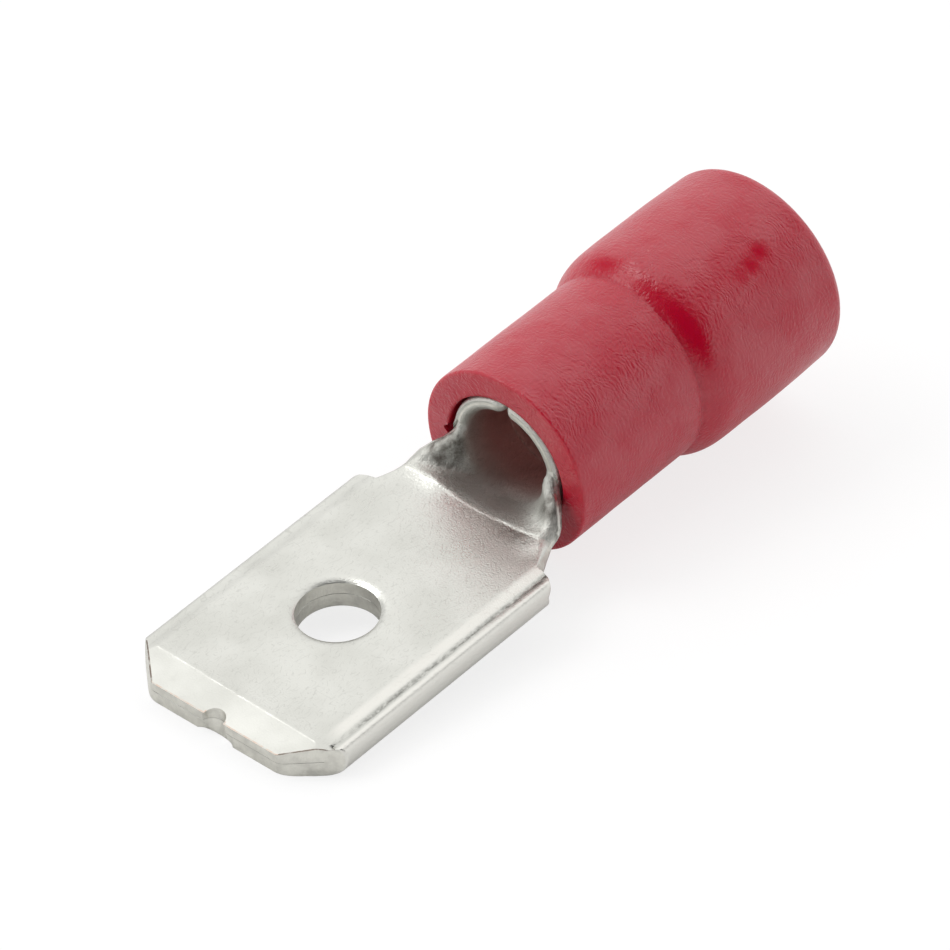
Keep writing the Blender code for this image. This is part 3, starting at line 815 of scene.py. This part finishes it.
def sleeve_profile():
    """Section of the sleeve's wall as (radius, x), from the bore's front edge round the outside and
    back."""
    front = SLEEVE_START + FRONT_ROUND
    rear = SLEEVE_END - REAR_ROUND
    rim = SLEEVE_RADIUS - FRONT_ROUND
    points = [(SLEEVE_BORE + BORE_EDGE, SLEEVE_START)]
    for radius in spread(SLEEVE_BORE + FACE_PITCH, rim - FACE_MARGIN, FACE_PITCH):
        points.append((radius, SLEEVE_START))
    points += rounded(rim, front, FRONT_ROUND, 180, 90, 5)
    step_front, step_rear = STEP_START + STEP_ZONE[0], STEP_START + STEP_ZONE[1]
    places = spread(front, step_front, OUTSIDE_PITCH)[1:]
    places += spread(step_front, step_rear, STEP_PITCH)[1:]
    places += spread(step_rear, rear, OUTSIDE_PITCH)[1:-1]
    points += [(outside_radius(x), x) for x in places]
    points += rounded(outside_radius(rear) - REAR_ROUND, rear, REAR_ROUND, 90, 0, 10)
    points += [(r, SLEEVE_END) for r in (REAR_RADIUS - 0.5 * MM, REAR_BORE + 0.2 * MM)]
    points += rounded(REAR_BORE + BORE_ROUND, SLEEVE_END - BORE_ROUND, BORE_ROUND, 0, -90, 4)
    places = spread(SLEEVE_END - 0.3 * MM, FUNNEL_END, FUNNEL_PITCH)[1:-1]
    points += [(REAR_BORE, x) for x in places]
    points += stepped(FUNNEL_END, FUNNEL_START, REAR_BORE, SLEEVE_BORE, 8)
    places = spread(SLEEVE_START + 0.1 * MM, FUNNEL_START, BORE_PITCH)[-2::-1]
    points += [(SLEEVE_BORE, x) for x in places]
    points.append((SLEEVE_BORE, SLEEVE_START + BORE_EDGE))
    return points


def sleeve_shape(radius, x, angle):
    """The sleeve's small departures from a turned shape: dents, a nick and soft unevenness. Angle 0
    is the top."""
    outside = radius > (SLEEVE_RADIUS + SLEEVE_BORE) / 2
    place = Vector((x, radius * math.sin(angle), radius * math.cos(angle)))
    if outside and SLEEVE_START + FRONT_ROUND < x < SLEEVE_END - REAR_ROUND:
        lean = STEP_LEAN * (1 - math.cos(angle - STEP_LEAN_TURN))
        radius += outside_radius(x + lean) - outside_radius(x)
        from_gap = abs(math.remainder(angle - FOOT_GROOVE_GAP, 2 * math.pi))
        foot = FOOT_GROOVE * clamp(from_gap / FOOT_GROOVE_EASE)
        off = (x + lean - STEP_START - FOOT_GROOVE_BEHIND) / FOOT_GROOVE_REACH
        radius -= foot * math.exp(-(off**2))
        radius += sum(uneven(place, size, pitch, seed) for size, pitch, seed in SOFTNESS)
    if outside and x < SLEEVE_END - REAR_ROUND:
        for at, turn, length, width, depth in DENTS:
            around = (angle - math.radians(turn)) * REAR_RADIUS / width
            radius -= depth * math.exp(-(((x - at) / length) ** 2) - around**2)
    if x < SLEEVE_START + NICK_LENGTH and radius < SLEEVE_BORE + NICK_DEPTH + NICK_MARGIN:
        bite = (angle - NICK_TURN) * radius / NICK_HALF
        radius = max(radius, SLEEVE_BORE + NICK_DEPTH * math.exp(-(bite**2)))
    return Vector((x, radius * math.sin(angle), SLEEVE_AXIS_Z + radius * math.cos(angle)))


def build_sleeve(material):
    profile = sleeve_profile()
    verts = []
    for radius, x in profile:
        for step in range(AROUND):
            verts.append(sleeve_shape(radius, x, 2 * math.pi * step / AROUND))
    faces = []
    for ring in range(len(profile)):
        here, following = ring * AROUND, (ring + 1) % len(profile) * AROUND
        for step in range(AROUND):
            after = (step + 1) % AROUND
            faces.append((here + step, following + step, following + after, here + after))
    mesh = bpy.data.meshes.new("sleeve")
    mesh.from_pydata(verts, [], faces)
    for face in mesh.polygons:
        face.use_smooth = True
    mesh.set_sharp_from_angle(angle=math.radians(50))
    add_piece("sleeve", mesh, "insulating_sleeve", [material])


# Materials


def new_material(name):
    material = bpy.data.materials.new(name)
    material.use_nodes = True
    tree = material.node_tree
    return material, tree, tree.nodes["Principled BSDF"]


def set_inputs(tree, node, inputs):
    """Set these inputs of a node, given as (name, value or output)."""
    for key, value in inputs:
        if isinstance(value, bpy.types.NodeSocket):
            tree.links.new(value, node.inputs[key])
        else:
            node.inputs[key].default_value = value


def add_node(tree, kind, inputs=(), **settings):
    """A shader node with these settings and inputs."""
    made = tree.nodes.new(kind)
    for key, value in settings.items():
        setattr(made, key, value)
    set_inputs(tree, made, inputs)
    return made


def own_space(tree):
    """The terminal's own coordinates, in which the sizes above are written."""
    back = REST.inverted()
    made = add_node(
        tree,
        "ShaderNodeMapping",
        (
            ("Vector", add_node(tree, "ShaderNodeTexCoord").outputs["Object"]),
            ("Location", back.to_translation()),
            ("Rotation", back.to_euler()),
        ),
    )
    return made.outputs["Vector"]


def noise_at(tree, where, size, detail=2.0, rough=0.5, distortion=0.0, output="Fac"):
    """Noise with features of about this size."""
    made = add_node(
        tree,
        "ShaderNodeTexNoise",
        (
            ("Vector", where),
            ("Scale", 1 / size),
            ("Detail", detail),
            ("Roughness", rough),
            ("Distortion", distortion),
        ),
    )
    return made.outputs[output]


def ramp(tree, value, low, high, first, last):
    """The value carried from low..high to first..last, held at the ends."""
    made = add_node(
        tree,
        "ShaderNodeMapRange",
        (
            ("Value", value),
            ("From Min", low),
            ("From Max", high),
            ("To Min", first),
            ("To Max", last),
        ),
        clamp=True,
        interpolation_type="SMOOTHSTEP",
    )
    return made.outputs["Result"]


def math_node(tree, operation, first, second=0.0):
    made = add_node(tree, "ShaderNodeMath", ((0, first), (1, second)), operation=operation)
    return made.outputs[0]


def product(tree, first, *others):
    for other in others:
        first = math_node(tree, "MULTIPLY", first, other)
    return first


def vector_math(tree, operation, first, second):
    made = add_node(tree, "ShaderNodeVectorMath", ((0, first), (1, second)), operation=operation)
    return made.outputs["Vector"]


def shifted(tree, where, size, detail, reach, middle=0.0):
    """Coordinates moved about by noise of this size, with this value of it left in place."""
    drift = noise_at(tree, where, size, detail, output="Color")
    drift = vector_math(tree, "SUBTRACT", drift, (middle,) * 3)
    return vector_math(tree, "ADD", where, vector_math(tree, "MULTIPLY", drift, (reach,) * 3))


def mix_colour(tree, amount, first, second):
    inputs = ((0, amount), (6, first), (7, second))
    return add_node(tree, "ShaderNodeMix", inputs, data_type="RGBA").outputs[2]


def bump(tree, height, depth, before=None):
    inputs = [("Height", height), ("Strength", 1.0), ("Distance", depth)]
    if before is not None:
        inputs.append(("Normal", before))
    return add_node(tree, "ShaderNodeBump", inputs).outputs["Normal"]


def hairlines(tree, where, size, width, cover):
    """Short curved lines: thin bands along a noise's contours, broken up by a second noise."""
    field = noise_at(tree, where, size, detail=0.0)
    offset = math_node(tree, "ABSOLUTE", math_node(tree, "SUBTRACT", field, 0.5))
    line = ramp(tree, offset, 0.0, width, 1.0, 0.0)
    breaks = noise_at(tree, where, size * 0.45, detail=0.0)
    return product(tree, line, ramp(tree, breaks, 1 - cover, 1.08 - cover, 0.0, 1.0))


def turned_space(tree, where, angle, stretch):
    """Coordinates turned about the vertical and stretched, for marks that run one way."""
    made = add_node(
        tree,
        "ShaderNodeMapping",
        (("Vector", where), ("Rotation", (0, 0, math.radians(angle))), ("Scale", (stretch, 1, 1))),
    )
    return made.outputs["Vector"]


def spots(tree, where, spacing, size, cover):
    """Small round spots about this far apart, over part of the surface."""
    cells = add_node(tree, "ShaderNodeTexVoronoi", (("Vector", where), ("Scale", 1 / spacing)))
    near = size / spacing
    spot = ramp(tree, cells.outputs["Distance"], near * 0.5, near, 1.0, 0.0)
    chosen = ramp(tree, noise_at(tree, where, spacing * 2), 1 - cover, 1.05 - cover, 0.0, 1.0)
    return product(tree, spot, chosen)


def barrel_inside(tree, where):
    """1 inside the wire barrel, past its mouth, and 0 elsewhere: where the painted red reflection
    goes.
    """
    apart = add_node(tree, "ShaderNodeSeparateXYZ", (("Vector", where),)).outputs
    height = math_node(tree, "SUBTRACT", apart["Z"], BARREL_AXIS_Z)
    sides = [math_node(tree, "POWER", side, 2.0) for side in (apart["Y"], height)]
    radius = math_node(tree, "SQRT", math_node(tree, "ADD", *sides))
    inner = BARREL_RADIUS - SHEET
    inside = ramp(tree, radius, inner + 0.02 * MM, inner + 0.10 * MM, 1.0, 0.0)
    past = ramp(tree, apart["X"], MOUTH_X - 0.2 * MM, MOUTH_X + 1.0 * MM, 0.0, 1.0)
    return product(tree, inside, past)


def near_place(tree, where, centre, reach, core=0.55):
    """1 at this place, falling from this share of its reach along each axis to 0 at the whole of
    it."""
    apart = vector_math(tree, "SUBTRACT", where, centre)
    scaled = vector_math(tree, "MULTIPLY", apart, tuple(1 / size for size in reach))
    far = add_node(tree, "ShaderNodeVectorMath", ((0, scaled),), operation="LENGTH")
    return ramp(tree, far.outputs["Value"], core, 1.0, 1.0, 0.0)


def tin_scratches(tree, where):
    """Fine scratches, most of them along two ways and a few curved."""
    found = hairlines(tree, where, 0.34 * MM, 0.02, 0.45)
    for turn, size in ((35, 0.16 * MM), (-50, 0.14 * MM)):
        one_way = hairlines(tree, turned_space(tree, where, turn, 0.4), size, 0.03, 0.5)
        found = math_node(tree, "MAXIMUM", found, one_way)
    return found


def darkened_neck(tree, where, base):
    """The colour, darker in patches on the neck."""
    streaky = noise_at(tree, turned_space(tree, where, 35, 0.5), 0.22 * MM, detail=4, rough=0.65)
    uneven_darkening = ramp(tree, streaky, 0.22, 0.74, 0.15, 1.0)
    for centre, reach, strength in NECK_PATCHES:
        patch = product(tree, near_place(tree, where, centre, reach), uneven_darkening, strength)
        base = mix_colour(tree, patch, base, NECK_PATCH_DARK)
    return base


def near_side_sheen_and_shade(tree, where, base):
    """The colour with painted sheen on the near side's strips and painted shade in its groove."""
    apart = add_node(tree, "ShaderNodeSeparateXYZ", (("Vector", where),)).outputs
    on_top = ramp(tree, apart["Z"], *TOP_ONLY, 0.0, 1.0)
    inboard = math_node(tree, "ABSOLUTE", math_node(tree, "ADD", apart["Y"], SHEEN_Y))
    strip = ramp(tree, inboard, *SHEEN_REACH, 1.0, 0.0)
    strip = product(tree, strip, on_top, ramp(tree, apart["X"], *SHEEN_FROM, 0.0, 1.0))
    outer = ramp(tree, apart["Y"], *OUTER_STRIP, 0.9, 0.0)
    # Painted sheen: lighter colour on these strips
    base = mix_colour(tree, math_node(tree, "MAXIMUM", strip, outer), base, NEAR_SIDE_SHEEN)
    beside = math_node(tree, "ABSOLUTE", math_node(tree, "ADD", apart["Y"], SIDE_GROOVE_Y))
    blotch = noise_at(tree, turned_space(tree, where, 0, 0.6), 0.10 * MM, detail=4, rough=0.65)
    # Painted shade: darker, blotchy colour in the groove
    groove_shade = product(
        tree,
        ramp(tree, beside, 0.0, GROOVE_SHADE_REACH, 1.0, 0.0),
        on_top,
        ramp(tree, blotch, 0.30, 0.68, 0.1, 0.85),
        ramp(tree, apart["X"], *GROOVE_SHADE_FROM, 0.0, 1.0),
    )
    return mix_colour(tree, groove_shade, base, GROOVE_SHADE)


def tin_material():
    """Tin plate over brass: pale, satin, finely scratched, with small dark pits; duller where the
    neck is drawn."""
    material, tree, shader = new_material("tin_plate")
    where = own_space(tree)
    along = add_node(tree, "ShaderNodeSeparateXYZ", (("Vector", where),)).outputs["X"]
    cloud = noise_at(tree, where, 1.6 * MM, detail=3)
    behind_bevel = ramp(tree, along, 0.75 * MM, 0.95 * MM, 0.3, 1.0)
    scratches = product(tree, tin_scratches(tree, where), behind_bevel)
    pit = spots(tree, where, 0.7 * MM, 0.035 * MM, 0.42)
    base = mix_colour(tree, ramp(tree, cloud, 0.3, 0.7, 0, 1), TIN_LOW, TIN_HIGH)
    base = mix_colour(tree, product(tree, scratches, 0.36), base, TIN_MARK)
    base = mix_colour(tree, product(tree, pit, 0.55), base, PIT)
    # Darker patches on the neck
    base = darkened_neck(tree, where, base)
    # Painted reflection: red-brown tint inside the barrel, for the red light the sleeve throws in
    base = mix_colour(tree, barrel_inside(tree, where), base, BARREL_INSIDE_RED_REFLECTION)
    # Painted sheen on the near side's strips and painted shade in its groove
    base = near_side_sheen_and_shade(tree, where, base)
    drawn = ramp(tree, along, CREASE_X, CREASE_X + 0.12 * MM, 0.0, 1.0)
    smooth = ramp(tree, cloud, 0.3, 0.7, 0.27, 0.34)
    rough = math_node(tree, "ADD", smooth, product(tree, drawn, 0.24))
    grain = noise_at(tree, where, 0.05 * MM, detail=2, rough=0.55)
    normal = bump(tree, product(tree, grain, behind_bevel), GRAIN_HEIGHT)
    wrinkle = noise_at(tree, turned_space(tree, where, 30, 0.5), 0.13 * MM, detail=4, rough=0.65)
    fibrous = ramp(tree, along, CREASE_X - 0.9 * MM, CREASE_X - 0.1 * MM, 0.0, 0.35)
    fibrous = math_node(tree, "ADD", fibrous, product(tree, drawn, 0.65))
    normal = bump(tree, product(tree, wrinkle, fibrous), WRINKLE_HEIGHT, normal)
    normal = bump(tree, scratches, -SCRATCH_DEPTH, normal)
    normal = bump(tree, pit, -PIT_DEPTH, normal)
    set_inputs(
        tree,
        shader,
        (("Base Color", base), ("Metallic", 1.0), ("Roughness", rough), ("Normal", normal)),
    )
    return material


def sheared_material():
    """The sheet's cut walls: duller, streaked along the sheet's thickness, a little brass
    showing."""
    material, tree, shader = new_material("sheared_edge")
    where = own_space(tree)
    mottle = noise_at(tree, where, 0.30 * MM, detail=3, rough=0.6)
    long_way = add_node(tree, "ShaderNodeMapping", (("Vector", where), ("Scale", (1, 1, 0.12))))
    streak = noise_at(tree, long_way.outputs["Vector"], 0.035 * MM, detail=2)
    base = mix_colour(tree, ramp(tree, mottle, 0.3, 0.7, 0, 1), SHEARED_LOW, SHEARED_HIGH)
    rough = ramp(tree, mottle, 0.3, 0.7, 0.32, 0.46)
    normal = bump(tree, mottle, MOTTLE_HEIGHT, bump(tree, streak, STREAK_HEIGHT))
    set_inputs(
        tree,
        shader,
        (("Base Color", base), ("Metallic", 1.0), ("Roughness", rough), ("Normal", normal)),
    )
    return material


def edge_band_material(name, colour, roughness, worn):
    """A cut edge's narrow rounding in its own colour, patched with tin: copper where the plating is
    thin, or a dark line.
    """
    material, tree, shader = new_material(name)
    where = own_space(tree)
    patchy = noise_at(tree, where, 0.15 * MM, detail=3, rough=0.6)
    base = mix_colour(tree, ramp(tree, patchy, worn, worn + 0.3, 0, 1), colour, TIN_LOW)
    set_inputs(tree, shader, (("Base Color", base), ("Metallic", 1.0), ("Roughness", roughness)))
    return material


def vinyl_skin(tree, where):
    """The vinyl's crumpled, fingerprint-like skin."""
    flow = shifted(tree, where, 0.7 * MM, 1.0, SKIN_DRIFT)
    ridges = add_node(
        tree,
        "ShaderNodeTexWave",
        (
            ("Vector", flow),
            ("Scale", WAVES_PER_UNIT / RIDGE_SPACING),
            ("Distortion", 22.0),
            ("Detail", 2.5),
            ("Detail Scale", 0.42),
            ("Detail Roughness", 0.55),
        ),
        bands_direction="X",
    ).outputs["Fac"]
    crumple = noise_at(tree, flow, 0.10 * MM, detail=2, rough=0.5, distortion=0.5)
    return math_node(tree, "ADD", product(tree, ridges, RIDGE_SHARE), crumple)


def shaded_smooth_share(tree, where):
    """How far the vinyl is smoothed and shaded by taking its reflection away, from 0 to 1, with
    ragged outlines.
    """
    ragged = shifted(tree, where, 0.12 * MM, 2.0, SHADED_DRIFT, middle=0.5)
    shaded_share = 0.0
    for centre, reach, strength in SMOOTHED_AND_SHADED:
        patch = product(tree, near_place(tree, ragged, centre, reach, SHADED_CORE), strength)
        shaded_share = math_node(tree, "MAXIMUM", patch, shaded_share)
    return shaded_share


def vinyl_material():
    """Soft red vinyl with a wavy, fingerprint-like skin, smoother places whose reflection is taken
    away as painted shade, and small pale spots of painted highlight."""
    material, tree, shader = new_material("red_vinyl_skin")
    where = own_space(tree)
    # Painted highlights: small pale spots
    glints = spots(tree, where, 0.4 * MM, 0.03 * MM, 0.4)
    shaded_share = shaded_smooth_share(tree, where)
    gloss = ramp(tree, noise_at(tree, where, 1.2 * MM, detail=2), 0.36, 0.64, 0.42, 0.60)
    # Painted shade: in those places the reflection is cut to a few percent
    kept = math_node(tree, "SUBTRACT", 1.0, product(tree, shaded_share, 0.94))
    skin = product(tree, vinyl_skin(tree, where), ramp(tree, shaded_share, 0, 1, 1.0, 0.15))
    normal = bump(tree, noise_at(tree, where, 0.35 * MM, detail=2), VINYL_WAVE_HEIGHT)
    set_inputs(
        tree,
        shader,
        (
            ("Base Color", mix_colour(tree, product(tree, glints, 0.35), VINYL, GLINT_COLOUR)),
            ("Roughness", ramp(tree, shaded_share, 0, 1, 0.30, 0.22)),
            ("Specular IOR Level", product(tree, gloss, kept)),
            ("IOR", VINYL_IOR),
            ("Subsurface Weight", 0.3),
            ("Subsurface Radius", (1.0, 0.15, 0.1)),
            ("Subsurface Scale", 0.5 * MM),
            ("Normal", bump(tree, skin, VINYL_SKIN_HEIGHT, normal)),
        ),
    )
    return material


# Floor, light and camera


def add_floor():
    bpy.ops.mesh.primitive_plane_add(size=2.0, location=(0, 0, 0))
    floor = bpy.context.object
    floor.name = "floor"
    material, tree, shader = new_material("pale_floor")
    rays = add_node(tree, "ShaderNodeLightPath").outputs
    seen = rays["Is Camera Ray"]
    mirrored = math_node(tree, "MAXIMUM", rays["Is Glossy Ray"], rays["Is Transmission Ray"])
    own = math_node(tree, "ADD", product(tree, seen, FLOOR_SEEN_LIGHT), FLOOR_LIGHT)
    own = math_node(tree, "ADD", product(tree, mirrored, FLOOR_MIRRORED_LIGHT), own)
    set_inputs(
        tree,
        shader,
        (
            ("Base Color", mix_colour(tree, seen, FLOOR_GREY, FLOOR_SEEN_GREY)),
            ("Roughness", 0.9),
            ("Specular IOR Level", 0.0),
            ("Emission Color", (1, 1, 1, 1)),
            ("Emission Strength", own),
        ),
    )
    floor.data.materials.append(material)


def camera_axes():
    """The camera's direction, right and up in the terminal's frame."""
    flat = math.cos(CAMERA_ELEVATION)
    look = Vector(
        (
            flat * math.cos(CAMERA_AZIMUTH),
            flat * math.sin(CAMERA_AZIMUTH),
            -math.sin(CAMERA_ELEVATION),
        )
    )
    right = look.cross(Vector((0, 0, 1))).normalized()
    up = right.cross(look)
    turn = Matrix.Rotation(-CAMERA_ROLL, 3, look)
    return look, turn @ right, turn @ up


def add_camera():
    look, right, up = camera_axes()
    place = CAMERA_AIM - look * CAMERA_DISTANCE + right * CAMERA_RIGHT + up * CAMERA_UP
    pose = Matrix.Identity(4)
    for column, axis in enumerate((right, up, -look, place)):
        for row in range(3):
            pose[row][column] = axis[row]
    camera = bpy.data.objects.new("camera", bpy.data.cameras.new("camera"))
    camera.data.sensor_width = SENSOR
    camera.data.lens = FOCAL_LENGTH
    camera.data.clip_start = 1 * MM
    camera.data.clip_end = 10.0
    camera.matrix_world = REST @ pose
    bpy.context.scene.collection.objects.link(camera)
    bpy.context.scene.camera = camera


def add_key_light():
    light = bpy.data.lights.new("key", "AREA")
    light.shape = "DISK"
    light.size = KEY_SIZE
    light.energy = KEY_POWER
    item = bpy.data.objects.new("key", light)
    item.location = KEY_PLACE
    item.rotation_euler = (KEY_AIM - KEY_PLACE).to_track_quat("-Z", "Y").to_euler()
    bpy.context.scene.collection.objects.link(item)


def light_world():
    """The tent all round, with its dim places."""
    world = bpy.data.worlds.new("white_tent")
    bpy.context.scene.world = world
    world.use_nodes = True
    tree = world.node_tree
    way = add_node(tree, "ShaderNodeTexCoord").outputs["Generated"]
    height = add_node(tree, "ShaderNodeSeparateXYZ", (("Vector", way),)).outputs["Z"]
    strength = product(tree, ramp(tree, height, *HORIZON_REACH, HORIZON_LIGHT, 1.0), TENT)
    for direction, outer, inner, light in DIM_PLACES:
        toward = (REST.to_3x3() @ Vector(direction)).normalized()
        inputs = ((0, way), (1, toward))
        near = add_node(tree, "ShaderNodeVectorMath", inputs, operation="DOT_PRODUCT")
        dimmed = ramp(tree, near.outputs["Value"], outer, inner, 1.0, light)
        strength = product(tree, strength, dimmed)
    background = tree.nodes["Background"]
    set_inputs(tree, background, (("Color", (1, 1, 1, 1)), ("Strength", strength)))


build_terminal(
    [
        tin_material(),
        sheared_material(),
        edge_band_material("coppery_edge", COPPERY, 0.3, 0.35),
        edge_band_material("dark_edge", DARK_EDGE_COLOUR, 0.5, 0.5),
    ]
)
build_sleeve(vinyl_material())
add_floor()
light_world()
add_camera()
add_key_light()
bpy.context.scene.view_settings.view_transform = "Standard"
